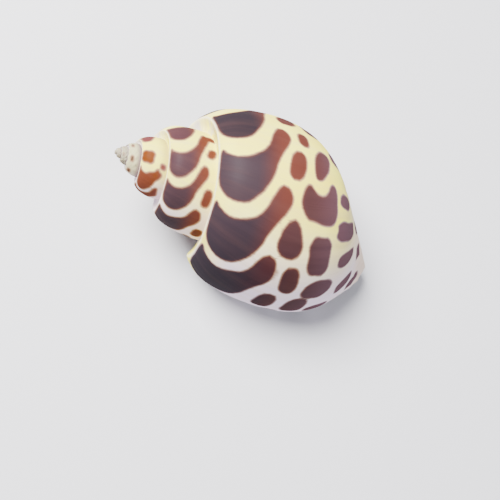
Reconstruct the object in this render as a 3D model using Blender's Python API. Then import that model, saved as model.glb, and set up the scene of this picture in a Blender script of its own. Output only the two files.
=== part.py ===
"""A babylon shell, lying on its opening.

The shell is one spiral of growing whorls. One outline, from the suture over the
shoulder, the side and the base into the umbilicus, is swept round the axis and
shrinks towards the apex. Both its ends sit on the next older whorl. The newest
whorl ends in the lip, behind which the hollow winds in, so the shell is one solid
with an open mouth.

Turns are counted back from the lip: 0 is the lip, 1 is one turn older. Outlines
are (radius, depth) pairs in shell lengths, the depth measured down from the apex.
A place along the outline, called its run, goes from 0 at the suture to 1 at its
end in the umbilicus.
"""
import math

import bmesh
import bpy
import numpy as np
from mathutils import Matrix, Vector

NAME = "babylon_shell"
LENGTH = 0.060                       # apex to siphonal end, along the axis

# Size of the whorl 0, 1, 2 ... turns back from the lip, against the newest one.
WHORL_SIZES = (1.0, 0.545, 0.289, 0.157, 0.093, 0.052, 0.028, 0.015)

# Outline at the lip: suture, narrow ledge, shoulder rim, swollen side, base,
# siphonal ridge, and the wall of the umbilicus up to the older whorl.
OUTLINE = (
    (0.212, 0.378), (0.236, 0.372), (0.257, 0.359), (0.270, 0.355), (0.290, 0.370),
    (0.329, 0.418), (0.360, 0.505), (0.376, 0.600), (0.380, 0.700), (0.364, 0.800),
    (0.322, 0.884), (0.262, 0.941), (0.205, 0.968), (0.168, 0.980), (0.140, 0.996),
    (0.115, 1.000), (0.093, 0.986), (0.076, 0.940), (0.066, 0.860), (0.058, 0.760),
    (0.051, 0.660), (0.044, 0.575), (0.038, 0.504),
)
RIM_POINT = 3                        # the shoulder rim's place in OUTLINE
NOTCH_POINT = 13                     # the siphonal notch's place
RIDGE_POINT = 15                     # the siphonal ridge's crest
PARIETAL_DEPTH = 0.972               # where the older whorl runs into the columella
COLUMELLA = (                        # pillar side of the hollow, siphon to older whorl
    (0.138, 0.945), (0.120, 0.880), (0.107, 0.800), (0.098, 0.720), (0.094, 0.650),
    (0.097, 0.585),
)
HOLLOW_HEART = (0.225, 0.600, 0.850)  # radius and depths that the wall is measured towards

WALL = 0.0017                        # on the newest whorl, in proportion on older ones
LIP_EDGE = 0.0008                    # wall at the outer lip's edge
LIP_TAPER = 0.07                     # turns over which the lip thins
LIP_ROUNDING = 0.5                   # swell of the lip's edge, against its thickness
HOLLOW_TURNS = 1.75
UMBILICUS_TURNS = 2.25               # from the lip to the umbilicus's closed end
SPIRE_TURNS = 6.25                   # from the lip to the first whorl
APEX_RISE = 0.004                    # height of the first whorl's dome, in shell lengths
SPIRE_SWELL = 0.07                   # share by which the middle of the spire is fuller
SPIRE_SWELL_DEPTH = 0.13             # of that middle
SPIRE_SWELL_WIDTH = 0.08

LIP_SWELL = -0.016                   # turns that the middle of the lip stands forward
LIP_SWELL_PLACE = 0.28               # of that middle, along the outline
LIP_SWELL_WIDTH = 0.12
NOTCH = 0.070                        # turns that the siphonal notch cuts back
NOTCH_WIDTH = 0.056                  # along the outline
SKEW_TURNS = 0.5                     # turns over which the lip's curve fades out

REST_ROLL = -111.8                   # about the axis, degrees
REST_PITCH = 12.7                    # of the apex above the level, degrees

STEPS = 40                           # round one turn
HOLLOW_STEPS = 20
CHANNEL_ROWS = 3                     # suture to shoulder rim
SPIRE_ROWS = 5                       # shoulder rim to the next suture
LIP_ROWS = 4                         # across the lip's edge
PARIETAL_ROWS = 3                    # older whorl's side, inside the mouth
BASE_ROWS = 4                        # from there over the base
UMBILICUS_ROWS = 6

SHELL_COLOUR = (0.80, 0.74, 0.60, 1.0)
SHELL_ROUGHNESS = 0.32


def catmull(points, count):
    """Even samples of a smooth curve through the points, each point's run, its length."""
    p = np.asarray(points, float)
    p = np.vstack([2 * p[0] - p[1], p, 2 * p[-1] - p[-2]])
    per_piece = 40
    pieces = []
    for a, b, c, d in zip(p, p[1:], p[2:], p[3:]):
        t1 = np.linalg.norm(b - a) ** 0.5
        t2 = t1 + np.linalg.norm(c - b) ** 0.5
        t3 = t2 + np.linalg.norm(d - c) ** 0.5
        t = np.linspace(t1, t2, per_piece, endpoint=False)[:, None]
        ab = (t1 - t) / t1 * a + t / t1 * b
        bc = (t2 - t) / (t2 - t1) * b + (t - t1) / (t2 - t1) * c
        cd = (t3 - t) / (t3 - t2) * c + (t - t2) / (t3 - t2) * d
        abc = (t2 - t) / t2 * ab + t / t2 * bc
        bcd = (t3 - t) / (t3 - t1) * bc + (t - t1) / (t3 - t1) * cd
        pieces.append((t2 - t) / (t2 - t1) * abc + (t - t1) / (t2 - t1) * bcd)
    curve = np.vstack(pieces + [p[-2:-1]])
    run = np.concatenate([[0], np.cumsum(np.linalg.norm(np.diff(curve, axis=0), axis=1))])
    even = np.linspace(0, run[-1], count)
    samples = np.stack([np.interp(even, run, curve[:, k]) for k in range(2)], 1)
    return samples, run[::per_piece] / run[-1], run[-1]


CURVE, POINT_RUNS, CURVE_LENGTH = catmull(OUTLINE, 1200)
RUNS = np.linspace(0, 1, len(CURVE))
RIM_RUN = POINT_RUNS[RIM_POINT]
RIDGE_RUN = POINT_RUNS[RIDGE_POINT]


def size(turn):
    """Size of the whorl that many turns back, against the newest one."""
    logs = np.log(WHORL_SIZES)
    slopes = np.gradient(logs)
    i = min(max(int(turn), 0), len(logs) - 2)
    t = turn - i
    a = (2 * t ** 3 - 3 * t ** 2 + 1) * logs[i] + (t ** 3 - 2 * t ** 2 + t) * slopes[i]
    b = (3 * t ** 2 - 2 * t ** 3) * logs[i + 1] + (t ** 3 - t ** 2) * slopes[i + 1]
    return math.exp(a + b)


def fade(t):
    """From 1 at 0 or less, smoothly down to 0 at 1 or more."""
    t = min(max(t, 0.0), 1.0)
    return 1 - t * t * (3 - 2 * t)


def outline(run):
    return np.array([np.interp(run, RUNS, CURVE[:, 0]), np.interp(run, RUNS, CURVE[:, 1])])


def run_at(depth, low, high):
    """Run of the given depth, between two runs where the depth only grows or only falls."""
    part = (RUNS >= low) & (RUNS <= high)
    depths, runs = CURVE[part, 1], RUNS[part]
    if depths[0] > depths[-1]:
        depths, runs = depths[::-1], runs[::-1]
    return float(np.interp(depth, depths, runs))


def outer_seat(turn):
    """Run on this whorl, one turn old or more, where the next whorl's suture lies."""
    return run_at(OUTLINE[0][1] * size(turn - 1) / size(turn), RIM_RUN, POINT_RUNS[NOTCH_POINT])


def inner_seat(turn):
    """Run on this whorl where the next whorl's wall ends in the umbilicus."""
    return run_at(OUTLINE[-1][1] * size(turn - 1) / size(turn), RIDGE_RUN, 1.0)


def section(turn, run):
    """Radius and depth of the outside, with both ends led onto the older whorl."""
    outer = size(turn + 1) * outline(outer_seat(turn + 1)) - size(turn) * outline(0.0)
    inner = size(turn + 1) * outline(inner_seat(turn + 1)) - size(turn) * outline(1.0)
    outer_share = fade(run / (0.9 * RIM_RUN))
    inner_share = fade(2 * (1 - run) / (1 - RIDGE_RUN))
    return size(turn) * outline(run) + outer_share * outer + inner_share * inner


def skew(turn, run):
    """Turns by which the lip and its growth lines stand behind the axial plane."""
    swell = LIP_SWELL * math.exp(-((run - LIP_SWELL_PLACE) / LIP_SWELL_WIDTH) ** 2)
    notch = NOTCH * math.exp(-((run - POINT_RUNS[NOTCH_POINT]) / NOTCH_WIDTH) ** 2)
    ends = (1 - fade(run / RIM_RUN)) * (1 - fade(2 * (1 - run) / (1 - RIDGE_RUN)))
    return (swell + notch) * ends * fade(turn / SKEW_TURNS)


def place(point, turn, lag=0.0):
    """Radius and depth, turned about the axis, as a point with the apex up.

    The middle of the spire comes out a little fuller than the outline makes it.
    """
    angle = 2 * math.pi * (turn + lag)
    radius, depth = point
    radius *= 1 + SPIRE_SWELL * math.exp(-((depth - SPIRE_SWELL_DEPTH) / SPIRE_SWELL_WIDTH) ** 2)
    return LENGTH * Vector((radius * math.cos(angle), radius * math.sin(angle), -depth))


def spread(stops, counts):
    """Rows between stops, so many to each stretch, and the row of each stop."""
    rows = [stops[0]]
    for low, high, count in zip(stops, stops[1:], counts):
        rows += [float(row) for row in np.linspace(low, high, count + 1)[1:]]
    return rows, [0] + [sum(counts[:k + 1]) for k in range(len(counts))]


def newest_rows():
    """Runs of the newest whorl's rows, and the rows where other surfaces meet it."""
    seat = outer_seat(1.0)
    corner = seat + WALL / LENGTH / (size(1.0) * CURVE_LENGTH)
    parietal = run_at(PARIETAL_DEPTH, RIM_RUN, POINT_RUNS[NOTCH_POINT])
    base = (corner + parietal) / 2
    stops = (0.0, RIM_RUN, seat, corner, base, parietal, inner_seat(1.0), 1.0)
    counts = (CHANNEL_ROWS, SPIRE_ROWS, LIP_ROWS, PARIETAL_ROWS, BASE_ROWS, LIP_ROWS,
              UMBILICUS_ROWS)
    return spread(stops, counts)


def spire_rows(turn):
    return spread((0.0, RIM_RUN, outer_seat(turn)), (CHANNEL_ROWS, SPIRE_ROWS))[0]


def umbilicus_rows(turn):
    return spread((inner_seat(turn), 1.0), (UMBILICUS_ROWS,))[0]


def hollow_loop(turn, rows, corner, parietal):
    """The hollow at this turn: (radius and depth, lag) round from its upper corner."""
    scale = size(turn)
    older = size(turn + 1)
    shift = outer_seat(turn + 1) - outer_seat(1.0)
    wall = (WALL + (LIP_EDGE - WALL) * fade(turn / LIP_TAPER)) / LENGTH * scale
    heart_radius, heart_high, heart_low = HOLLOW_HEART
    outer = []
    for run in [row for row in rows[1:] if row < RIDGE_RUN]:
        point = section(turn, run)
        depth = min(max(point[1], heart_high * scale), heart_low * scale)
        inward = np.array([heart_radius * scale, depth]) - point
        outer.append((point + wall * inward / np.linalg.norm(inward), skew(turn, run)))
    pillar_rows = [row for row in rows if row >= RIDGE_RUN]
    pillar = [outer[-1][0]] + [scale * np.array(point) for point in COLUMELLA]
    pillar.append(older * outline(rows[parietal]))
    curve = catmull(pillar, 400)[0]
    start = rows[len(outer)]
    for run in pillar_rows[:-1]:
        share = (run - start) / (1 - start)
        point = curve[round(share * (len(curve) - 1))]
        outer.append((point, skew(turn, run) * fade(2 * share)))
    inner = []
    for row in range(parietal, corner - 1, -1):
        share = (parietal - row) / (parietal - corner)
        inner.append((older * outline(rows[row] + shift * share), 0.0))
    return inner[-1:] + outer + inner[:-1]


class Skin:
    """Vertices and triangles, collected patch by patch."""

    def __init__(self):
        self.points = []
        self.faces = []

    def add(self, point):
        self.points.append(point)
        return len(self.points) - 1

    def patch(self, grid):
        """Triangles over a grid of vertex numbers."""
        for near, far in zip(grid, grid[1:]):
            for a, b, c, d in zip(near, near[1:], far[1:], far):
                self.faces += [(a, b, d), (b, c, d)]

    def fan(self, loop, tip):
        for a, b in zip(loop, loop[1:] + loop[:1]):
            self.faces.append((a, b, tip))

    def coil(self, turns, rows_at, joint):
        """Older whorls from turn 1 back: a grid whose row on the older side is shared.

        The row numbered joint of each whorl is the row that the next newer whorl's
        other edge lies on. A fan is left to close the oldest end.
        """
        steps = round((turns - 1) * STEPS)
        count = len(rows_at(1.0))
        edge = count - 1 - joint
        grid = {}
        for step in range(steps, -1, -1):
            turn = 1 + step / STEPS
            for row, run in enumerate(rows_at(turn)):
                shared = grid.get((step + STEPS, joint)) if row == edge else None
                if shared is None:
                    shared = self.add(place(section(turn, run), turn))
                grid[step, row] = shared
        self.patch([[grid[step, row] for row in range(count)] for step in range(steps + 1)])
        rim = [grid[step, edge] for step in range(steps - STEPS, steps + 1)]
        across = sorted(range(1, count - 1), reverse=edge > joint)
        return grid, rim + [grid[steps, row] for row in across]


def lip_face(skin, newest, ring, rows, marks):
    """The lip's edge, from the suture round the mouth to the umbilicus, swollen forward."""
    seat, corner, base, parietal, inner = marks[2:7]
    last = len(rows) - 1
    grid = [[newest[STEPS, row] for row in range(seat, corner + 1)]]
    for row in range(1, last):
        outside, inside = skin.points[newest[0, row]], skin.points[ring[row]]
        gap = (inside - outside).length
        forward = Vector((0, 0, 1)).cross(outside)
        swell = -LIP_ROUNDING * gap * forward.normalized() * (1 - fade(min(row, last - row) / 3))
        line = [newest[0, row]]
        for k in range(1, LIP_ROWS):
            share = k / LIP_ROWS
            rise = math.sin(math.pi * share)
            line.append(skin.add(outside.lerp(inside, share) + rise * swell))
        grid.append(line + [ring[row]])
    grid.append([newest[STEPS, row] for row in range(inner, parietal - 1, -1)])
    skin.patch(grid)


def build_skin():
    skin = Skin()
    rows, marks = newest_rows()
    seat, corner, base, parietal, inner = marks[2:7]
    last = len(rows) - 1
    spire, apex_rim = skin.coil(SPIRE_TURNS, spire_rows, seat)
    umbilicus, end_rim = skin.coil(UMBILICUS_TURNS, umbilicus_rows, 0)

    # The newest whorl, whose two edges lie on the older whorl's.
    newest = {}
    for step in range(STEPS + 1):
        turn = step / STEPS
        for row, run in enumerate(rows):
            if row == 0:
                newest[step, row] = spire[step, seat]
            elif row == last:
                newest[step, row] = umbilicus[step, 0]
            elif step == STEPS and row <= seat:
                newest[step, row] = spire[0, row]
            elif step == STEPS and row >= inner:
                newest[step, row] = umbilicus[0, row - inner]
            else:
                newest[step, row] = skin.add(place(section(turn, run), turn, skew(turn, run)))
    skin.patch([[newest[step, row] for row in range(last + 1)] for step in range(STEPS + 1)])

    # The hollow, whose first ring shares the older whorl's points inside the mouth.
    shared = [newest[STEPS, row] for row in range(parietal, corner, -1)]
    rings = []
    for step in range(round(HOLLOW_TURNS * HOLLOW_STEPS) + 1):
        turn = step / HOLLOW_STEPS
        loop = hollow_loop(turn, rows, corner, parietal)
        if step == 0:
            own = loop[1:len(loop) - len(shared)]
            ring = [newest[STEPS, corner]]
            ring += [skin.add(place(point, turn, lag)) for point, lag in own] + shared
        else:
            ring = [skin.add(place(point, turn, lag)) for point, lag in loop]
        rings.append(ring)
    skin.patch([ring + ring[:1] for ring in rings])
    lip_face(skin, newest, rings[0], rows, marks)

    # The closed ends: of the hollow, of the umbilicus, and the first whorl's dome.
    rise = Vector((0, 0, APEX_RISE * LENGTH))
    for rim, lift in ((rings[-1], 0), (end_rim, 1), (apex_rim, 1)):
        centre = sum((skin.points[k] for k in rim), Vector()) / len(rim)
        skin.fan(rim, skin.add(centre + lift * rise))
    return skin


def rest(points):
    """The shell's own frame turned so that it lies on its opening, apex to -X."""
    roll = Matrix.Rotation(math.radians(REST_ROLL), 4, "Z")
    pitch = Matrix.Rotation(math.radians(REST_PITCH - 90), 4, "Y")
    turned = [pitch @ roll @ point for point in points]
    low = [min(p[k] for p in turned) for k in range(3)]
    high = [max(p[k] for p in turned) for k in range(3)]
    foot = Vector(((low[0] + high[0]) / 2, (low[1] + high[1]) / 2, low[2]))
    return [p - foot for p in turned]


def shell_material():
    material = bpy.data.materials.new("shell")
    material.use_nodes = True
    shader = material.node_tree.nodes["Principled BSDF"]
    shader.inputs["Base Color"].default_value = SHELL_COLOUR
    shader.inputs["Roughness"].default_value = SHELL_ROUGHNESS
    return material


def clear_scene():
    for thing in list(bpy.data.objects):
        bpy.data.objects.remove(thing, do_unlink=True)


def build_shell():
    skin = build_skin()
    mesh = bpy.data.meshes.new("shell")
    mesh.from_pydata(rest(skin.points), [], skin.faces)
    tidy = bmesh.new()
    tidy.from_mesh(mesh)
    bmesh.ops.recalc_face_normals(tidy, faces=tidy.faces)
    tidy.to_mesh(mesh)
    tidy.free()
    mesh.shade_smooth()
    mesh.materials.append(shell_material())
    shell = bpy.data.objects.new("shell", mesh)
    collection = bpy.data.collections.new(NAME)
    bpy.context.scene.collection.children.link(collection)
    collection.objects.link(shell)


clear_scene()
build_shell()
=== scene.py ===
"""The looks of a spotted babylon shell, lying on its opening.

The fine mesh follows the same spiral as the CAD solid. Turns are counted back from
the lip: 0 is the lip, 1 is one turn older. A place along the whorl's outline, called
its run, goes from 0 at the suture to 1 in the umbilicus. Both are kept on the mesh
as attributes, with the depth inside the nearest brown mark and the nearness to the
next whorl, and the material is worked out from them.
"""
import math

import bmesh
import bpy
import numpy as np
from mathutils import Matrix, Vector


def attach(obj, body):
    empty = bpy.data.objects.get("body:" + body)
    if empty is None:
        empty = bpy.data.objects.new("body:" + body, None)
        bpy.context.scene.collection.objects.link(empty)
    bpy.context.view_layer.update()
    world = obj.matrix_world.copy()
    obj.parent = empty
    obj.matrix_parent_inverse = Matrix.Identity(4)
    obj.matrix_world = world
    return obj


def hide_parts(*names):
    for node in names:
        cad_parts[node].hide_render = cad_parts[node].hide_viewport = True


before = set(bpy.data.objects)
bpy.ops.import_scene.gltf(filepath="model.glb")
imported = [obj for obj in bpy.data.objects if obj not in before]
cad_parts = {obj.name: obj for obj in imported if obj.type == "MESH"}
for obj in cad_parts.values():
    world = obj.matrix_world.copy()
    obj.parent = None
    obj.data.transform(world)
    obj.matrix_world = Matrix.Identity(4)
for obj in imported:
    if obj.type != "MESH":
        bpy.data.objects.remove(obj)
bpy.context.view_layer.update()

# ---------------------------------------------------------------- the CAD's spiral

LENGTH = 0.060                       # apex to siphonal end, along the axis
WHORL_SIZES = (1.0, 0.545, 0.289, 0.157, 0.093, 0.052, 0.028, 0.015)
OUTLINE = (                          # (radius, depth) in shell lengths
    (0.212, 0.378), (0.236, 0.372), (0.257, 0.359), (0.270, 0.355), (0.290, 0.370),
    (0.329, 0.418), (0.360, 0.505), (0.376, 0.600), (0.380, 0.700), (0.364, 0.800),
    (0.322, 0.884), (0.262, 0.941), (0.205, 0.968), (0.168, 0.980), (0.140, 0.996),
    (0.115, 1.000), (0.093, 0.986), (0.076, 0.940), (0.066, 0.860), (0.058, 0.760),
    (0.051, 0.660), (0.044, 0.575), (0.038, 0.504),
)
RIM_POINT = 3
NOTCH_POINT = 13
RIDGE_POINT = 15
PARIETAL_DEPTH = 0.972
COLUMELLA = (
    (0.138, 0.945), (0.120, 0.880), (0.107, 0.800), (0.098, 0.720), (0.094, 0.650),
    (0.097, 0.585),
)
HOLLOW_HEART = (0.225, 0.600, 0.850)
WALL = 0.0017
LIP_EDGE = 0.0008
LIP_TAPER = 0.07
LIP_ROUNDING = 0.5
HOLLOW_TURNS = 1.75
UMBILICUS_TURNS = 2.25
SPIRE_TURNS = 6.25
APEX_RISE = 0.004
SPIRE_SWELL = 0.07
SPIRE_SWELL_DEPTH = 0.13
SPIRE_SWELL_WIDTH = 0.08
LIP_SWELL = -0.016
LIP_SWELL_PLACE = 0.28
LIP_SWELL_WIDTH = 0.12
NOTCH = 0.070
NOTCH_WIDTH = 0.056
SKEW_TURNS = 0.5
POLISH = 0.0008                      # sunk all over, so that the fine mesh keeps inside the solid
REST_ROLL = -111.8
REST_PITCH = 12.7

# ---------------------------------------------------------------- relief of the outside

OLD_LIPS = 60                        # pauses in growth
OLD_LIP_GAPS = (0.035, 0.105)        # turns from one to the next
OLD_LIP_DEPTHS = (0.0004, 0.0016)    # shell lengths, like all depths here
OLD_LIP_WIDTH = 0.006                # turns
WORN_FROM = 2.7                      # turn where the tip begins to be worn
WORN_OVER = 1.1                      # turns until it is fully worn
WEAR = 0.018
ROPES = (0.50, 0.56, 0.66, 0.71)     # runs where the base's ropes begin, are full, fade, end
ROPE_PITCH = 0.024                   # run from one rope to the next
ROPE_HEIGHT = 0.0016

# ---------------------------------------------------------------- fineness of the mesh

STEPS = 256                          # round one turn
HOLLOW_STEPS = 72
CHANNEL_ROWS = 8
SPIRE_ROWS = 18
LIP_ROWS = 8
PARIETAL_ROWS = 12
BASE_ROWS = 14
UMBILICUS_ROWS = 26


def catmull(points, count):
    """Even samples of a smooth curve through the points, each point's run, its length."""
    p = np.asarray(points, float)
    p = np.vstack([2 * p[0] - p[1], p, 2 * p[-1] - p[-2]])
    per_piece = 40
    pieces = []
    for a, b, c, d in zip(p, p[1:], p[2:], p[3:]):
        t1 = np.linalg.norm(b - a) ** 0.5
        t2 = t1 + np.linalg.norm(c - b) ** 0.5
        t3 = t2 + np.linalg.norm(d - c) ** 0.5
        t = np.linspace(t1, t2, per_piece, endpoint=False)[:, None]
        ab = (t1 - t) / t1 * a + t / t1 * b
        bc = (t2 - t) / (t2 - t1) * b + (t - t1) / (t2 - t1) * c
        cd = (t3 - t) / (t3 - t2) * c + (t - t2) / (t3 - t2) * d
        abc = (t2 - t) / t2 * ab + t / t2 * bc
        bcd = (t3 - t) / (t3 - t1) * bc + (t - t1) / (t3 - t1) * cd
        pieces.append((t2 - t) / (t2 - t1) * abc + (t - t1) / (t2 - t1) * bcd)
    curve = np.vstack(pieces + [p[-2:-1]])
    run = np.concatenate([[0], np.cumsum(np.linalg.norm(np.diff(curve, axis=0), axis=1))])
    even = np.linspace(0, run[-1], count)
    samples = np.stack([np.interp(even, run, curve[:, k]) for k in range(2)], 1)
    return samples, run[::per_piece] / run[-1], run[-1]


CURVE, POINT_RUNS, CURVE_LENGTH = catmull(OUTLINE, 1200)
RUNS = np.linspace(0, 1, len(CURVE))
RIM_RUN = POINT_RUNS[RIM_POINT]
NOTCH_RUN = POINT_RUNS[NOTCH_POINT]
RIDGE_RUN = POINT_RUNS[RIDGE_POINT]


def size(turn):
    """Size of the whorl that many turns back, against the newest one."""
    turn = np.asarray(turn, float)
    logs = np.log(WHORL_SIZES)
    slopes = np.gradient(logs)
    i = np.clip(turn.astype(int), 0, len(logs) - 2)
    t = turn - i
    a = (2 * t ** 3 - 3 * t ** 2 + 1) * logs[i] + (t ** 3 - 2 * t ** 2 + t) * slopes[i]
    b = (3 * t ** 2 - 2 * t ** 3) * logs[i + 1] + (t ** 3 - t ** 2) * slopes[i + 1]
    return np.exp(a + b)


def fade(t):
    """From 1 at 0 or less, smoothly down to 0 at 1 or more."""
    t = np.clip(t, 0.0, 1.0)
    return 1 - t * t * (3 - 2 * t)


def outline(run):
    return np.stack([np.interp(run, RUNS, CURVE[:, 0]), np.interp(run, RUNS, CURVE[:, 1])], -1)


def run_at(depth, low, high):
    """Run of the given depth, between two runs where the depth only grows or only falls."""
    part = (RUNS >= low) & (RUNS <= high)
    depths, runs = CURVE[part, 1], RUNS[part]
    if depths[0] > depths[-1]:
        depths, runs = depths[::-1], runs[::-1]
    return np.interp(depth, depths, runs)


def outer_seat(turn):
    """Run on this whorl, one turn old or more, where the next whorl's suture lies."""
    turn = np.asarray(turn, float)
    return run_at(OUTLINE[0][1] * size(turn - 1) / size(turn), RIM_RUN, NOTCH_RUN)


def inner_seat(turn):
    """Run on this whorl where the next whorl's wall ends in the umbilicus."""
    turn = np.asarray(turn, float)
    return run_at(OUTLINE[-1][1] * size(turn - 1) / size(turn), RIDGE_RUN, 1.0)


def old_lips():
    """Where growth paused, in turns, and how deep each pause sank, in shell lengths."""
    rng = np.random.default_rng(3)
    places = OLD_LIP_GAPS[0] + np.cumsum(rng.uniform(*OLD_LIP_GAPS, OLD_LIPS))
    return list(zip(places, rng.uniform(*OLD_LIP_DEPTHS, OLD_LIPS)))


PAUSES = old_lips()


def relief(turn, run):
    """How far the outside is sunk: at old lips, over the worn tip, round the base.

    It dies out at both ends of the outline, where the whorls meet.
    """
    growth = turn + skew(turn, run) - skew(0.0, run)
    sunk = np.full(turn.shape, POLISH)
    for place_at, deep in PAUSES:
        sunk += deep * np.exp(-((growth - place_at) / OLD_LIP_WIDTH) ** 2)
    worn = 1 - fade((turn - WORN_FROM) / WORN_OVER)
    pits = np.sin(2 * math.pi * (13 * turn + 1.5 * np.sin(21 * run))) * np.sin(34 * run + 9 * turn)
    sunk += worn * WEAR * (1 + pits)
    begin, full, fading, end = ROPES
    ropes = (1 - fade((run - begin) / (full - begin))) * fade((run - fading) / (end - fading))
    sunk += ropes * ROPE_HEIGHT * (1 + np.sin(2 * math.pi * run / ROPE_PITCH))
    return sunk * (1 - fade(run / 0.02)) * (1 - fade((1 - run) / 0.1))


def section(turn, run):
    """Radius and depth of the outside, with both ends led onto the older whorl."""
    turn, run = np.broadcast_arrays(np.asarray(turn, float), np.asarray(run, float))
    here, older = size(turn)[..., None], size(turn + 1)[..., None]
    outer = older * outline(outer_seat(turn + 1)) - here * outline(0.0)
    inner = older * outline(inner_seat(turn + 1)) - here * outline(1.0)
    outer_share = fade(run / (0.9 * RIM_RUN))[..., None]
    inner_share = fade(2 * (1 - run) / (1 - RIDGE_RUN))[..., None]
    ahead = outline(np.minimum(run + 0.002, 1)) - outline(np.maximum(run - 0.002, 0))
    outward = np.stack([ahead[..., 1], -ahead[..., 0]], -1)
    outward /= np.linalg.norm(outward, axis=-1, keepdims=True)
    flat = here * outline(run) + outer_share * outer + inner_share * inner
    return flat - here * relief(turn, run)[..., None] * outward


def skew(turn, run):
    """Turns by which the lip and its growth lines stand behind the axial plane."""
    swell = LIP_SWELL * np.exp(-((run - LIP_SWELL_PLACE) / LIP_SWELL_WIDTH) ** 2)
    notch = NOTCH * np.exp(-((run - NOTCH_RUN) / NOTCH_WIDTH) ** 2)
    ends = (1 - fade(run / RIM_RUN)) * (1 - fade(2 * (1 - run) / (1 - RIDGE_RUN)))
    return (swell + notch) * ends * fade(turn / SKEW_TURNS)


def place(point, turn, lag=0.0):
    """Radius and depth, turned about the axis, as points with the apex up.

    The middle of the spire comes out a little fuller than the outline makes it.
    """
    angle = 2 * math.pi * (turn + lag)
    radius, depth = point[..., 0], point[..., 1]
    swell = SPIRE_SWELL * np.exp(-((depth - SPIRE_SWELL_DEPTH) / SPIRE_SWELL_WIDTH) ** 2)
    radius = radius * (1 + swell)
    return LENGTH * np.stack([radius * np.cos(angle), radius * np.sin(angle), -depth], -1)


def spread(stops, counts):
    """Rows between stops, so many to each stretch, and the row of each stop."""
    rows = [np.array([stops[0]])]
    for low, high, count in zip(stops, stops[1:], counts):
        rows.append(np.linspace(low, high, count + 1)[1:])
    return np.concatenate(rows), [0] + [sum(counts[:k + 1]) for k in range(len(counts))]


def newest_rows():
    """Runs of the newest whorl's rows, and the rows where other surfaces meet it."""
    seat = float(outer_seat(1.0))
    corner = seat + WALL / LENGTH / (float(size(1.0)) * CURVE_LENGTH)
    parietal = float(run_at(PARIETAL_DEPTH, RIM_RUN, NOTCH_RUN))
    base = (corner + parietal) / 2
    stops = (0.0, RIM_RUN, seat, corner, base, parietal, float(inner_seat(1.0)), 1.0)
    counts = (CHANNEL_ROWS, SPIRE_ROWS, LIP_ROWS, PARIETAL_ROWS, BASE_ROWS, LIP_ROWS,
              UMBILICUS_ROWS)
    return spread(stops, counts)


def spire_rows(turn):
    stops = (0.0, RIM_RUN, float(outer_seat(turn)))
    return spread(stops, (CHANNEL_ROWS, SPIRE_ROWS))[0]


def umbilicus_rows(turn):
    return spread((float(inner_seat(turn)), 1.0), (UMBILICUS_ROWS,))[0]


def hollow_loop(turn, rows, corner, parietal):
    """The hollow at this turn: radius and depth, and lag, round from its upper corner."""
    scale = float(size(turn))
    older = float(size(turn + 1))
    shift = float(outer_seat(turn + 1) - outer_seat(1.0))
    wall = float(WALL + (LIP_EDGE - WALL) * fade(turn / LIP_TAPER)) / LENGTH * scale
    heart_radius, heart_high, heart_low = HOLLOW_HEART
    side_runs = rows[1:][rows[1:] < RIDGE_RUN]
    side = section(turn, side_runs)
    heart = np.stack([np.full(len(side), heart_radius * scale),
                      np.clip(side[:, 1], heart_high * scale, heart_low * scale)], 1)
    inward = heart - side
    side = side + wall * inward / np.linalg.norm(inward, axis=1, keepdims=True)
    meeting = older * outline(rows[parietal])
    pillar = np.vstack([side[-1:], scale * np.array(COLUMELLA), meeting[None]])
    curve = catmull(pillar, 400)[0]
    pillar_runs = rows[rows >= RIDGE_RUN][:-1]
    start = side_runs[-1]
    share = (pillar_runs - start) / (1 - start)
    spots = share * (len(curve) - 1)
    bend = np.stack([np.interp(spots, np.arange(len(curve)), curve[:, k]) for k in range(2)], 1)
    index = np.arange(parietal, corner - 1, -1)
    inner = older * outline(rows[index] + shift * (parietal - index) / (parietal - corner))
    points = np.vstack([inner[-1:], side, bend, inner[:-1]])
    lag = np.concatenate([[0], skew(turn, side_runs), skew(turn, pillar_runs) * fade(2 * share),
                          np.zeros(len(index) - 1)])
    return points, lag


# ---------------------------------------------------------------- brown marks


def smooth_loop(points):
    """A closed smooth outline through the points."""
    p = np.asarray(points, float)
    ring = []
    per_piece = 8
    t = np.linspace(0, 1, per_piece, endpoint=False)[:, None]
    for k in range(len(p)):
        a, b, c, d = p[k - 1], p[k], p[(k + 1) % len(p)], p[(k + 2) % len(p)]
        ring.append(0.5 * (2 * b + (c - a) * t + (2 * a - 5 * b + 4 * c - d) * t ** 2
                           + (3 * b - a - 3 * c + d) * t ** 3))
    return np.vstack(ring)


TURN_WIDTH = 1.57                    # a turn's width against the whole run, on the newest whorl
MARK_REACH = 0.03                    # run round a mark within which its distance is worked out
FOOT_FROM = 0.16                     # run where a boot's leg turns into its foot
FOOT_OVER = 0.08                     # run over which its shape changes there
FOOT_FADE = 0.09                     # run over which its warmth changes there


def depth_inside(loop, points):
    """How deep each point lies inside the loop, negative outside."""
    nearest = np.full(len(points), 9.0)
    inside = np.zeros(len(points), bool)
    x, y = points.T
    for (ax, ay), (bx, by) in zip(loop, np.roll(loop, -1, 0)):
        dx, dy = bx - ax, by - ay
        t = np.clip(((x - ax) * dx + (y - ay) * dy) / (dx * dx + dy * dy + 1e-12), 0, 1)
        nearest = np.minimum(nearest, np.hypot(x - ax - t * dx, y - ay - t * dy))
        crosses = (ay > y) != (by > y)
        inside ^= crosses & (x < ax + (y - ay) * dx / np.where(dy == 0, 1e-12, dy))
    return np.where(inside, nearest, -nearest)


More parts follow.
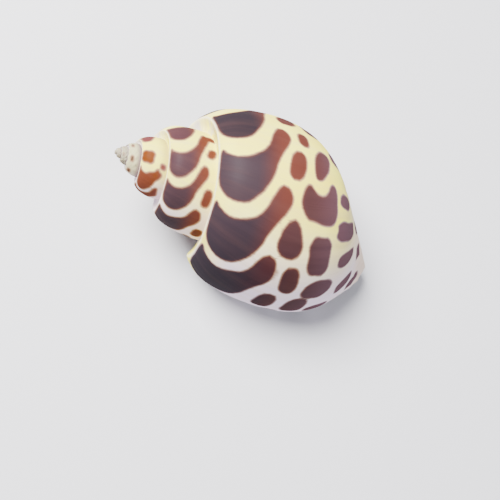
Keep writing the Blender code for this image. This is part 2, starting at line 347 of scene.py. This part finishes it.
# A boot: a tall mark under the shoulder, with a foot that trails back and down.
# Points are (turns behind its leading edge, run).
BOOT_FRONT = (
    (0.016, 0.058), (0.004, 0.078), (0.000, 0.105), (0.003, 0.131), (0.010, 0.152),
    (0.023, 0.171), (0.038, 0.189), (0.060, 0.206), (0.084, 0.219), (0.104, 0.234),
    (0.120, 0.251), (0.138, 0.267),
)
BOOT_BACK = (
    (0.154, 0.263), (0.163, 0.243), (0.156, 0.225), (0.138, 0.209), (0.118, 0.195),
    (0.102, 0.177), (0.090, 0.150), (0.083, 0.125), (0.081, 0.103), (0.085, 0.078),
    (0.094, 0.058), (0.076, 0.049), (0.038, 0.049),
)


def boot(lead, width=1.0, reach=1.0, drop=0.0, swell=0.0):
    """A boot behind its leading edge; width scales its leg, reach and drop its foot.

    Swell moves its back edge further back. Like every mark it comes with how warm its
    brown is, above and below.
    """
    points = []
    edges = [(back, run, 0.0) for back, run in BOOT_FRONT]
    edges += [(back, run, swell) for back, run in BOOT_BACK]
    for back, run, more in edges:
        foot = min(max((run - FOOT_FROM) / FOOT_OVER, 0.0), 1.0)
        scale = width + (reach - width) * foot
        points.append((lead + more + back * scale, run + drop * foot))
    return points, 0.0, 1.0


# Two spots of the widest part that have run into one.
TWIN = (
    (0.267, 0.302), (0.279, 0.293), (0.295, 0.294), (0.309, 0.305), (0.312, 0.321),
    (0.303, 0.339), (0.300, 0.356), (0.305, 0.373), (0.319, 0.385), (0.326, 0.400),
    (0.317, 0.414), (0.298, 0.416), (0.278, 0.416), (0.261, 0.408), (0.254, 0.390),
    (0.254, 0.364), (0.257, 0.335), (0.259, 0.317),
)


def spot(turn, run, half_turns, half_run, tilt=0.0, square=0.1, taper=0.0, warm=0.35):
    """A rounded mark about a place; tilt leans it, square fills its corners.

    Taper narrows it along the run towards its older side.
    """
    points = []
    corners = 12
    for k in range(corners):
        angle = 2 * math.pi * k / corners
        across, along = math.cos(angle), math.sin(angle)
        fill = 1 + square * math.sin(2 * angle) ** 2
        across, along = across * fill, along * fill * (1 - taper * across)
        points.append((turn + half_turns * across, run + half_run * along + tilt * across))
    return points, warm, warm


# The spots that go with one boot: turns behind its leading edge, run, half its turns,
# half its run, and warmth.
HABIT = (
    (0.085, 0.281, 0.028, 0.030, 0.9), (0.030, 0.318, 0.025, 0.025, 0.6),
    (0.080, 0.368, 0.030, 0.033, 0.4), (0.012, 0.402, 0.024, 0.032, 0.3),
    (0.062, 0.470, 0.021, 0.042, 0.3), (0.112, 0.448, 0.015, 0.030, 0.5),
    (0.010, 0.515, 0.018, 0.030, 0.4), (0.075, 0.556, 0.024, 0.020, 0.6),
)


def dealt_marks(lead, width, rng):
    """The marks that go with one boot, placed by the habit of the shell's front."""
    def about(value, spare):
        return value + rng.uniform(-spare, spare)

    marks = [boot(lead, width, about(1.0, 0.05), about(0.008, 0.01))]
    for back, run, half_turns, half_run, warm in HABIT:
        marks.append(spot(about(lead + back, 0.009), about(run, 0.006),
                          half_turns * about(1.0, 0.16), half_run * about(1.0, 0.14),
                          about(0.006, 0.008), about(0.08, 0.08), about(0.0, 0.2),
                          about(warm, 0.15)))
    return marks


def all_marks():
    """The front's marks one by one, then the far side's and the tip's by habit."""
    marks = [
        # Boots of the front, from the lip back.
        boot(0.009, 1.14, 1.04, 0.000, 0.012),
        boot(0.132, 1.06, 1.03, 0.002),
        boot(0.243, 1.04, 1.03, 0.004),
        boot(0.364, 1.16, 1.04, 0.002),
        # One spot in the bend of each boot.
        spot(0.088, 0.279, 0.031, 0.027, 0.005, warm=0.7),
        spot(0.224, 0.282, 0.031, 0.034, -0.001, 0.05, 0.36, warm=0.5),
        spot(0.338, 0.282, 0.028, 0.027, 0.010, 0.05, warm=1.0),
        spot(0.453, 0.292, 0.024, 0.033, 0.012, warm=0.8),
        # Between the feet of the boots, and along the widest part.
        spot(0.028, 0.316, 0.024, 0.026, 0.002),
        spot(0.155, 0.312, 0.028, 0.026, -0.003, warm=0.6),
        (TWIN, 0.6, 0.4),
        spot(0.396, 0.316, 0.018, 0.020, 0.002, warm=1.0),
        spot(0.088, 0.361, 0.031, 0.030, 0.004),
        spot(0.204, 0.374, 0.033, 0.034, -0.004, 0.20, -0.08),
        spot(0.354, 0.366, 0.032, 0.029, 0.018, 0.05, -0.2, warm=0.6),
        spot(0.139, 0.401, 0.023, 0.043, 0.006),
        spot(0.450, 0.378, 0.025, 0.032, 0.006),
        # The front's lower part.
        spot(0.020, 0.398, 0.022, 0.036, 0.002),
        spot(0.014, 0.498, 0.020, 0.030),
        spot(0.116, 0.503, 0.020, 0.032),
        spot(0.193, 0.486, 0.016, 0.042, 0.002),
        spot(0.249, 0.474, 0.018, 0.052, 0.002, 0.25),
        spot(0.305, 0.466, 0.015, 0.036, 0.004),
        spot(0.392, 0.452, 0.018, 0.034, 0.004),
        spot(0.066, 0.432, 0.019, 0.034, 0.002),
        spot(0.438, 0.476, 0.019, 0.034, 0.004),
        spot(0.062, 0.545, 0.022, 0.020),
        spot(0.152, 0.565, 0.022, 0.017),
        spot(0.228, 0.572, 0.022, 0.017),
        spot(0.300, 0.566, 0.021, 0.020),
        spot(0.375, 0.545, 0.022, 0.022),
        # The next whorl up, where it shows above the newest one.
        boot(1.000, 1.18, 1.00, 0.004, 0.008),
        boot(1.132, 0.96, 1.03, 0.004, 0.005),
        boot(1.241, 1.07, 1.15, 0.016),
        boot(1.374, 1.12, 1.06, 0.010),
        spot(1.411, 0.292, 0.014, 0.032, -0.004, warm=0.9),
        spot(1.078, 0.277, 0.026, 0.026, 0.004, warm=0.9),
        spot(1.211, 0.276, 0.029, 0.026, 0.006, warm=1.0),
        spot(1.346, 0.284, 0.018, 0.026, 0.010, warm=1.0),
        # The third whorl, whose boots are squat.
        (boot(1.930, 1.15, 1.10, 0.004, 0.030)[0], 0.55, 0.7),
        (boot(2.070, 1.60, 1.00, 0.008)[0], 0.60, 1.0),
        spot(2.293, 0.116, 0.040, 0.066, 0.004, 0.25, warm=1.0),
        boot(2.400, 1.25, 0.80, -0.020),
        spot(2.258, 0.272, 0.019, 0.032, warm=1.0),
    ]
    rng = np.random.default_rng(7)
    for lead in (0.498, 0.619, 0.741, 0.870, 1.520, 1.655, 1.795):
        marks += dealt_marks(lead, rng.uniform(0.98, 1.12), rng)
    for lead in (2.560, 2.730, 2.890):
        marks.append(boot(lead, rng.uniform(1.0, 1.2), 0.8, -0.02))
    for lead in np.arange(3.05, 4.6, 0.17):
        marks.append(spot(lead + rng.uniform(0, 0.04), rng.uniform(0.10, 0.15), 0.035, 0.035))
    return marks


def mark_values(turn, run):
    """Depth inside the nearest mark, in runs of the newest whorl, and that mark's warmth."""
    points = np.stack([turn.ravel() * TURN_WIDTH, run.ravel()], 1)
    depth = np.full(len(points), -MARK_REACH)
    warmth = np.zeros(len(points))
    foot = 1 - fade((points[:, 1] - FOOT_FROM) / FOOT_FADE)
    for outline_points, upper, lower in all_marks():
        loop = smooth_loop(outline_points) * (TURN_WIDTH, 1)
        low, high = loop.min(0) - MARK_REACH, loop.max(0) + MARK_REACH
        near = np.flatnonzero(np.all((points > low) & (points < high), 1))
        found = depth_inside(loop, points[near]) if len(near) else np.empty(0)
        near, found = near[found > depth[near]], found[found > depth[near]]
        depth[near] = found
        warmth[near] = upper + (lower - upper) * foot[near]
    scale = size(turn)
    return {"mark": depth.reshape(turn.shape) * scale, "warmth": warmth.reshape(turn.shape)}


# ---------------------------------------------------------------- the mesh

SEAM = 0.13                          # run over which a whorl counts as near the next one


class Skin:
    """Vertices and faces, collected patch by patch, with values at each corner."""

    NAMES = ("turn", "run", "growth", "mark", "warmth", "inside", "seam")

    def __init__(self):
        self.points = []
        self.count = 0
        self.quads = []
        self.values = {name: [] for name in self.NAMES}

    def add(self, points):
        points = np.asarray(points, float)
        numbers = self.count + np.arange(points[..., 0].size).reshape(points.shape[:-1])
        self.points.append(points.reshape(-1, 3))
        self.count += numbers.size
        return numbers

    def all_points(self):
        return np.vstack(self.points)

    def patch(self, grid, **values):
        """Quads over a grid of vertex numbers; each value is a grid or one number."""
        low, high = slice(None, -1), slice(1, None)
        corners = ((low, low), (high, low), (high, high), (low, high))
        quads = np.stack([grid[c] for c in corners], -1).reshape(-1, 4)
        keep = np.array([len(set(q)) == 4 for q in quads.tolist()])
        self.quads.append(quads[keep])
        for name in self.NAMES:
            value = np.broadcast_to(np.asarray(values.get(name, 0.0), float), grid.shape)
            self.values[name].append(np.stack([value[c] for c in corners], -1).reshape(-1, 4)[keep])

    def fan(self, loop, tip, **values):
        """Triangles from a loop of vertex numbers to a tip, as quads with a doubled tip."""
        ends = np.roll(loop, -1)
        tips = np.full(len(loop), tip)
        self.quads.append(np.stack([loop, ends, tips, tips], 1))
        for name in self.NAMES:
            self.values[name].append(np.full((len(loop), 4), float(values.get(name, 0.0))))

    def coil(self, turns, rows_at, joint):
        """Older whorls from turn 1 back, whose edges lie on each other."""
        steps = round((turns - 1) * STEPS)
        turn = 1 + np.arange(steps + 1) / STEPS
        runs = np.stack([rows_at(t) for t in turn])
        edge = runs.shape[1] - 1 - joint
        turn = np.broadcast_to(turn[:, None], runs.shape)
        grid = self.add(place(section(turn, runs), turn))
        for step in range(steps - STEPS, -1, -1):
            grid[step, edge] = grid[step + STEPS, joint]
        seam = fade(np.abs(runs - runs[:, joint:joint + 1]) / SEAM)
        self.patch(grid, turn=turn, run=runs, growth=turn - skew(0.0, runs), seam=seam,
                   **mark_values(turn, runs))
        rim = list(grid[steps - STEPS:, edge])
        across = list(grid[steps, 1:-1])
        return grid, np.array(rim + (across if edge == 0 else across[::-1]))


def lip_face(skin, newest, ring, rows, marks):
    """The lip's edge, from the suture round the mouth to the umbilicus, swollen forward."""
    seat, corner, _, parietal, inner = marks[2:7]
    last = len(rows) - 1
    points = skin.all_points()
    row = np.arange(1, last)
    outside, inside = points[newest[0, row]], points[ring[row]]
    gap = np.linalg.norm(inside - outside, axis=1, keepdims=True)
    forward = np.cross([0, 0, 1], outside)
    forward /= np.linalg.norm(forward, axis=1, keepdims=True)
    swell = -LIP_ROUNDING * gap * forward
    swell *= (1 - fade(np.minimum(row, last - row) / 8))[:, None]
    share = (np.arange(1, LIP_ROWS) / LIP_ROWS)[None, :, None]
    body = outside[:, None] * (1 - share) + inside[:, None] * share
    body = body + np.sin(math.pi * share) * swell[:, None]
    middle = skin.add(body)
    grid = np.hstack([newest[0, row][:, None], middle, ring[row][:, None]])
    first = newest[STEPS, seat:corner + 1]
    final = newest[STEPS, parietal:inner + 1][::-1]
    grid = np.vstack([first[None], grid, final[None]])
    across = np.broadcast_to(np.linspace(0, 1, LIP_ROWS + 1), grid.shape)
    skin.patch(grid, run=np.broadcast_to(rows[:, None], grid.shape), mark=-MARK_REACH,
               inside=across)


def build_skin():
    """The whole shell: spire, umbilicus, newest whorl, hollow, lip and ends."""
    skin = Skin()
    rows, marks = newest_rows()
    seat, corner, _, parietal, inner = marks[2:7]
    last = len(rows) - 1
    spire, apex_rim = skin.coil(SPIRE_TURNS, spire_rows, seat)
    umbilicus, end_rim = skin.coil(UMBILICUS_TURNS, umbilicus_rows, 0)

    turn = np.broadcast_to(np.arange(STEPS + 1)[:, None] / STEPS, (STEPS + 1, last + 1))
    run = np.broadcast_to(rows, turn.shape)
    newest = skin.add(place(section(turn, run), turn, skew(turn, run)))
    newest[:, 0] = spire[:STEPS + 1, seat]
    newest[:, last] = umbilicus[:STEPS + 1, 0]
    newest[STEPS, :seat + 1] = spire[0]
    newest[STEPS, inner:] = umbilicus[0]
    growth = turn + skew(turn, run) - skew(0.0, run)
    skin.patch(newest, turn=turn, run=run, growth=growth, **mark_values(turn, run))

    shared = newest[STEPS, corner + 1:parietal + 1][::-1]
    rings = []
    for step in range(round(HOLLOW_TURNS * HOLLOW_STEPS) + 1):
        points, lag = hollow_loop(step / HOLLOW_STEPS, rows, corner, parietal)
        rings.append(skin.add(place(points, step / HOLLOW_STEPS, lag)))
    rings[0][-len(shared):] = shared
    rings[0][0] = newest[STEPS, corner]
    rings = np.stack(rings)
    hollow = np.hstack([rings, rings[:, :1]])
    depth = np.broadcast_to(np.arange(len(hollow))[:, None] / HOLLOW_STEPS, hollow.shape)
    skin.patch(hollow, turn=depth, run=0.3, mark=-MARK_REACH, inside=1.0)
    lip_face(skin, newest, rings[0], rows, marks)

    points = skin.all_points()
    rise = np.array([0, 0, APEX_RISE * LENGTH])
    ends = ((rings[-1], 0, HOLLOW_TURNS, 1), (end_rim, 1, UMBILICUS_TURNS, 0),
            (apex_rim, 1, SPIRE_TURNS, 0))
    for rim, lift, back, inside in ends:
        tip = skin.add((points[rim].mean(0) + lift * rise)[None])[0]
        skin.fan(rim, tip, turn=back, run=0.1, mark=-MARK_REACH, inside=inside)
    return skin


def rest_matrix(points):
    """Turns the shell's own frame so that it lies on its opening, apex to -X."""
    roll = Matrix.Rotation(math.radians(REST_ROLL), 4, "Z")
    pitch = Matrix.Rotation(math.radians(REST_PITCH - 90), 4, "Y")
    turned = points @ np.array((pitch @ roll).to_3x3()).T
    low, high = turned.min(0), turned.max(0)
    foot = Vector(((low[0] + high[0]) / 2, (low[1] + high[1]) / 2, low[2]))
    return Matrix.Translation(-foot) @ pitch @ roll


def make_mesh(skin):
    """The Blender mesh of a skin, at rest, and the matrix that laid it down."""
    quads = np.vstack(skin.quads)
    points = skin.all_points()
    used, quads = np.unique(quads, return_inverse=True)
    quads = quads.reshape(-1, 4)
    points = points[used]
    matrix = rest_matrix(points)
    laid = points @ np.array(matrix.to_3x3()).T + np.array(matrix.translation)
    faces = [tuple(q[:3]) if q[2] == q[3] else tuple(q) for q in quads.tolist()]
    mesh = bpy.data.meshes.new("shell_skin")
    mesh.from_pydata(laid.tolist(), [], faces)
    keep = np.ones(quads.shape, bool)
    keep[quads[:, 2] == quads[:, 3], 3] = False
    for name in Skin.NAMES:
        values = np.vstack(skin.values[name])[keep]
        layer = mesh.attributes.new(name, "FLOAT", "CORNER")
        layer.data.foreach_set("value", values.astype(np.float32))
    whole = bmesh.new()
    whole.from_mesh(mesh)
    bmesh.ops.recalc_face_normals(whole, faces=whole.faces[:])
    whole.to_mesh(mesh)
    whole.free()
    mesh.shade_smooth()
    return mesh, matrix


# ---------------------------------------------------------------- material


RUN_MM = 84.0                        # mm to the whole run, on the newest whorl


class Nodes:
    """Short names for making and wiring shader nodes."""

    def __init__(self, name):
        self.material = bpy.data.materials.new(name)
        self.material.use_nodes = True
        self.tree = self.material.node_tree
        self.tree.nodes.clear()
        self.attributes = {}

    def make(self, kind, **settings):
        node = self.tree.nodes.new("ShaderNode" + kind)
        for name, value in settings.items():
            setattr(node, name, value)
        return node

    def put(self, socket, value):
        if isinstance(value, bpy.types.NodeSocket):
            self.tree.links.new(value, socket)
        else:
            socket.default_value = value

    def value(self, name):
        """The mesh attribute of that name."""
        if name not in self.attributes:
            self.attributes[name] = self.make("Attribute", attribute_name=name).outputs["Fac"]
        return self.attributes[name]

    def math(self, operation, a, b=0.0, c=0.0):
        node = self.make("Math", operation=operation)
        for socket, value in zip(node.inputs, (a, b, c)):
            self.put(socket, value)
        return node.outputs[0]

    def times(self, a, b):
        return self.math("MULTIPLY", a, b)

    def larger(self, a, b):
        return self.math("MAXIMUM", a, b)

    def band(self, value, low, high, out_low=0.0, out_high=1.0):
        """Smooth step of a value from low to high."""
        node = self.make("MapRange", interpolation_type="SMOOTHSTEP")
        for socket, v in zip(node.inputs, (value, low, high, out_low, out_high)):
            self.put(socket, v)
        return node.outputs[0]

    def vector(self, x, y, z=0.0):
        node = self.make("CombineXYZ")
        for socket, v in zip(node.inputs, (x, y, z)):
            self.put(socket, v)
        return node.outputs[0]

    def noise(self, vector, scale, detail=3.0, roughness=0.5):
        node = self.make("TexNoise")
        self.put(node.inputs["Vector"], vector)
        self.put(node.inputs["Scale"], scale)
        self.put(node.inputs["Detail"], detail)
        self.put(node.inputs["Roughness"], roughness)
        return node.outputs["Fac"]

    def cloud(self, scale, detail=3.0):
        """Noise that is the same in every direction, so many to the metre."""
        return self.noise(self.make("TexCoord").outputs["Object"], scale, detail)

    def streaks(self, round_scale, run_scale, detail, roughness):
        """Noise drawn out along the old lips."""
        growth = self.times(self.value("growth"), round_scale)
        run = self.times(self.value("run"), run_scale)
        return self.noise(self.vector(growth, run), 1.0, detail, roughness)

    def mix(self, share, a, b):
        node = self.make("Mix", data_type="RGBA")
        self.put(node.inputs[0], share)
        self.put(node.inputs[6], a)
        self.put(node.inputs[7], b)
        return node.outputs[2]


def rgb(red, green, blue):
    """A colour from its 0 to 255 screen values."""
    linear = [((c / 255 + 0.055) / 1.055) ** 2.4 if c > 10 else c / 255 / 12.92
              for c in (red, green, blue)]
    return (*linear, 1.0)


def ground_colour(n, broad, fine):
    """Creamy yellow, plainer on the far side, cool on the base; painted lilac shade by the lip."""
    turn, run = n.value("turn"), n.value("run")
    ground = n.mix(n.band(n.cloud(90), 0.35, 0.65), rgb(250, 242, 98), rgb(246, 230, 82))
    round_at = n.math("FRACT", turn)
    far_side = n.times(n.band(round_at, 0.44, 0.58, 0.0, 0.85), n.band(round_at, 0.99, 0.90))
    ground = n.mix(far_side, ground, rgb(250, 241, 184))
    # Painted lilac shade on the newest part and on the older whorls, on the lip's side.
    newest = n.times(n.band(turn, 0.28, 0.10, 0.0, 0.95), n.band(run, 0.04, 0.16))
    lilac_shade_side = n.band(n.math("PINGPONG", turn, 0.5), 0.26, 0.08)
    lilac_shade_side = n.times(lilac_shade_side, n.band(turn, 0.7, 0.9, 0.0, 0.85))
    ground = n.mix(n.larger(newest, lilac_shade_side), ground, rgb(236, 217, 238))
    ground = n.mix(n.band(run, 0.42, 0.62, 0.0, 0.9), ground, rgb(240, 226, 226))
    ropes = n.times(n.band(run, 0.53, 0.57, 0.0, 0.45), n.band(run, 0.70, 0.63))
    ground = n.mix(ropes, ground, rgb(232, 200, 148))
    ground = n.mix(n.band(broad, 0.45, 0.75, 0.0, 0.34), ground, rgb(222, 194, 150))
    ground = n.mix(n.band(fine, 0.52, 0.80, 0.0, 0.30), ground, rgb(200, 176, 142))
    return n.mix(n.band(turn, 2.80, 3.20), ground, rgb(190, 184, 138))


def mark_colour(n, broad, fine):
    """Brown: grey in the boots' legs, red in the feet, mauve on the base, dull at the tip.

    Painted shade makes it darkest on the newest part and on the crown, painted lilac light
    makes it paler mauve on the base, and it turns to orange up the spire.
    """
    turn, run = n.value("turn"), n.value("run")
    spire = n.band(turn, 1.0, 2.2)
    # Painted shade: the newest marks are darkest, less so further back and down the whorl.
    unshaded_part = n.larger(n.band(turn, 0.05, 0.32), n.band(run, 0.22, 0.34, 0.0, 0.8))
    warm = n.mix(unshaded_part, rgb(40, 27, 38), rgb(87, 46, 38))
    warm = n.mix(spire, warm, rgb(100, 50, 12))
    grey = n.mix(unshaded_part, rgb(42, 35, 42), rgb(53, 41, 46))
    grey = n.mix(spire, grey, rgb(98, 50, 50))
    # Painted shade on the crown's boot.
    crown_shade = n.times(n.band(turn, 0.32, 0.38), n.band(turn, 0.60, 0.48, 0.0, 0.75))
    grey = n.mix(crown_shade, grey, rgb(34, 28, 33))
    brown = n.mix(n.value("warmth"), grey, warm)
    # Paler mauve lower down: painted lilac fill light on the shaded lower marks.
    brown = n.mix(n.band(run, 0.31, 0.48, 0.0, 0.70), brown, rgb(108, 78, 88))
    brown = n.mix(n.band(turn, 2.80, 3.20), brown, rgb(70, 60, 44))
    brown = n.mix(n.band(broad, 0.40, 0.75, 0.0, 0.10), brown, rgb(104, 72, 66))
    return n.mix(n.band(fine, 0.50, 0.80, 0.0, 0.14), brown, rgb(36, 22, 22))


def marked_colour(n, ground, brown, fine):
    """Marks on the ground, with a paler rim inside and a soft halo outside."""
    turn, run = n.value("turn"), n.value("run")
    wobble = n.math("MULTIPLY_ADD", n.cloud(450, 2), 0.32, -0.16)
    streak = n.math("MULTIPLY_ADD", fine, 0.24, -0.12)
    depth_mm = n.math("MULTIPLY_ADD", n.value("mark"), RUN_MM, n.math("ADD", wobble, streak))
    # Cooler, greyer rim and halo on the lip's side and lower down: painted lilac shade.
    lilac_shaded_side = n.larger(n.band(turn, 0.20, 0.06), n.band(run, 0.30, 0.44))
    rim = n.mix(lilac_shaded_side, rgb(108, 60, 46), rgb(84, 56, 60))
    brown = n.mix(n.band(depth_mm, 0.8, 0.0, 0.0, 0.35), brown, rim)
    halo = n.mix(lilac_shaded_side, rgb(190, 152, 118), rgb(168, 142, 144))
    halo = n.mix(n.band(depth_mm, -0.24, 0.10), ground, halo)
    return n.mix(n.band(depth_mm, -0.27, 0.42), halo, brown)


def aged_colour(n, skin):
    """The shoulder's rim worn white, painted shade in the channel and seams, a bare tip."""
    turn, run = n.value("turn"), n.value("run")
    rim = n.times(n.band(run, 0.038, 0.045, 0.0, 0.45), n.band(run, 0.053, 0.047))
    skin = n.mix(rim, skin, rgb(250, 240, 232))
    # Lilac-grey patches in the channel, all along it on the older whorls: painted shade of the
    # crease.
    patches = n.band(n.cloud(330), 0.45, 0.62)
    channel_shade = n.larger(patches, n.band(turn, 1.8, 2.6))
    channel_shade = n.times(channel_shade, n.band(run, 0.050, 0.030, 0.0, 0.6))
    skin = n.mix(channel_shade, skin, rgb(200, 186, 214))
    # Mauve in the seams between the older whorls: partly stain, partly painted shade.
    seam_stain_and_shade = n.times(n.value("seam"), n.band(turn, 1.6, 3.0, 0.0, 0.9))
    skin = n.mix(seam_stain_and_shade, skin, rgb(96, 64, 92))
    bare = n.band(n.cloud(900), 0.35, 0.60, 0.2, 0.8)
    return n.mix(n.times(bare, n.band(turn, 3.2, 4.0)), skin, rgb(152, 144, 126))


def shell_material():
    n = Nodes("shell")
    turn, run = n.value("turn"), n.value("run")
    broad = n.streaks(45.0, 3.0, 3, 0.5)
    fine = n.streaks(260.0, 7.0, 4, 0.6)
    skin = marked_colour(n, ground_colour(n, broad, fine), mark_colour(n, broad, fine), fine)
    skin = aged_colour(n, skin)

    # The glaze about the mouth hides the marks; within the mouth is porcelain.
    glaze = n.times(n.band(turn, 0.955, 0.985), n.band(run, 0.30, 0.34))
    glaze = n.times(glaze, n.math("LESS_THAN", turn, 1.001))
    skin = n.mix(n.larger(n.value("inside"), glaze), skin, rgb(244, 238, 230))

    rough = n.math("MULTIPLY_ADD", fine, 0.16, 0.26)
    rough = n.math("ADD", rough, n.band(turn, 2.8, 3.8, 0.0, 0.25))
    bump = n.make("Bump")
    n.put(bump.inputs["Strength"], 0.32)
    n.put(bump.inputs["Distance"], 0.0001)
    n.put(bump.inputs["Height"], n.math("MULTIPLY_ADD", fine, 0.7, broad))

    shader = n.make("BsdfPrincipled")
    n.put(shader.inputs["Base Color"], skin)
    n.put(shader.inputs["Roughness"], rough)
    n.put(shader.inputs["Specular IOR Level"], 0.0)
    n.put(shader.inputs["Coat Weight"], 0.07)
    n.put(shader.inputs["Coat Roughness"], 0.42)
    n.put(shader.inputs["Normal"], bump.outputs[0])
    n.put(shader.inputs["Coat Normal"], bump.outputs[0])
    n.put(n.make("OutputMaterial").inputs["Surface"], shader.outputs[0])
    return n.material


def plain_material(name, colour, roughness):
    n = Nodes(name)
    shader = n.make("BsdfPrincipled")
    n.put(shader.inputs["Base Color"], colour)
    n.put(shader.inputs["Roughness"], roughness)
    n.put(n.make("OutputMaterial").inputs["Surface"], shader.outputs[0])
    return n.material


# ---------------------------------------------------------------- stage

VIEW_TURN = 95.0                     # the camera's place about the shell's axis, degrees
VIEW_TILT = 20.0                     # above the square view, towards the apex, degrees
VIEW_ROLL = 17.5                     # of the axis below the picture's level, degrees
VIEW_DISTANCE = 2.9                  # shell lengths from the middle of the shell
VIEW_MIDDLE = 0.55                   # depth of that middle, in shell lengths
VIEW_SHIFT = (-0.0255, -0.105)
LENS = 59.7                          # mm, on a 36 mm sensor
FLOOR_REACH = 1.5                    # metres from the middle to each side
LIGHTS_AIM = (0, 0, 0.015)           # the middle of the shell


def make_camera(matrix):
    """A camera set by the shell's own axis, so that it follows how the shell lies."""
    turn, tilt, roll = (math.radians(a) for a in (VIEW_TURN, VIEW_TILT, VIEW_ROLL))
    away = Vector((math.cos(turn) * math.cos(tilt), math.sin(turn) * math.cos(tilt),
                   math.sin(tilt)))
    down = (away * away.z - Vector((0, 0, 1))).normalized()
    side = down.cross(away)
    right = math.cos(roll) * down - math.sin(roll) * side
    up = -(math.sin(roll) * down + math.cos(roll) * side)
    middle = Vector((0, 0, -VIEW_MIDDLE * LENGTH))
    eye = middle + away * VIEW_DISTANCE * LENGTH
    pose = Matrix((right, up, away)).transposed().to_4x4()
    pose.translation = eye
    data = bpy.data.cameras.new("camera")
    data.lens = LENS
    data.shift_x, data.shift_y = VIEW_SHIFT
    data.clip_start = 0.005
    camera = bpy.data.objects.new("camera", data)
    camera.matrix_world = matrix @ pose
    bpy.context.scene.collection.objects.link(camera)
    bpy.context.scene.camera = camera


def area_light(name, place_at, diameter, power, colour=(1, 1, 1)):
    data = bpy.data.lights.new(name, "AREA")
    data.shape = "DISK"
    data.size = diameter
    data.energy = power
    data.color = colour
    light = bpy.data.objects.new(name, data)
    light.location = place_at
    aim = Vector(LIGHTS_AIM) - Vector(place_at)
    light.rotation_euler = aim.to_track_quat("-Z", "Y").to_euler()
    bpy.context.scene.collection.objects.link(light)


def make_stage():
    """A pale floor, a soft key light above, a weaker cool fill and a pale sky."""
    mesh = bpy.data.meshes.new("floor")
    reach = FLOOR_REACH
    mesh.from_pydata([(-reach, -reach, 0), (reach, -reach, 0), (reach, reach, 0),
                      (-reach, reach, 0)], [], [(0, 1, 2, 3)])
    mesh.materials.append(plain_material("floor", rgb(214, 213, 216), 0.7))
    floor = bpy.data.objects.new("floor", mesh)
    bpy.context.scene.collection.objects.link(floor)
    area_light("key", (-0.22, 0.14, 0.42), diameter=0.30, power=11.8)
    area_light("fill", (0.30, -0.25, 0.40), diameter=0.40, power=1.7, colour=(0.88, 0.9, 1.0))
    world = bpy.data.worlds.new("world")
    world.use_nodes = True
    sky = world.node_tree.nodes["Background"]
    sky.inputs["Color"].default_value = (0.86, 0.88, 1.0, 1)
    sky.inputs["Strength"].default_value = 0.26
    bpy.context.scene.world = world


def make_shell():
    """The shell on its body; gives the matrix that laid it down."""
    mesh, matrix = make_mesh(build_skin())
    mesh.materials.append(shell_material())
    shell = bpy.data.objects.new("shell_fine", mesh)
    bpy.context.scene.collection.objects.link(shell)
    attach(shell, "root")
    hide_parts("shell")
    return matrix


make_camera(make_shell())
make_stage()
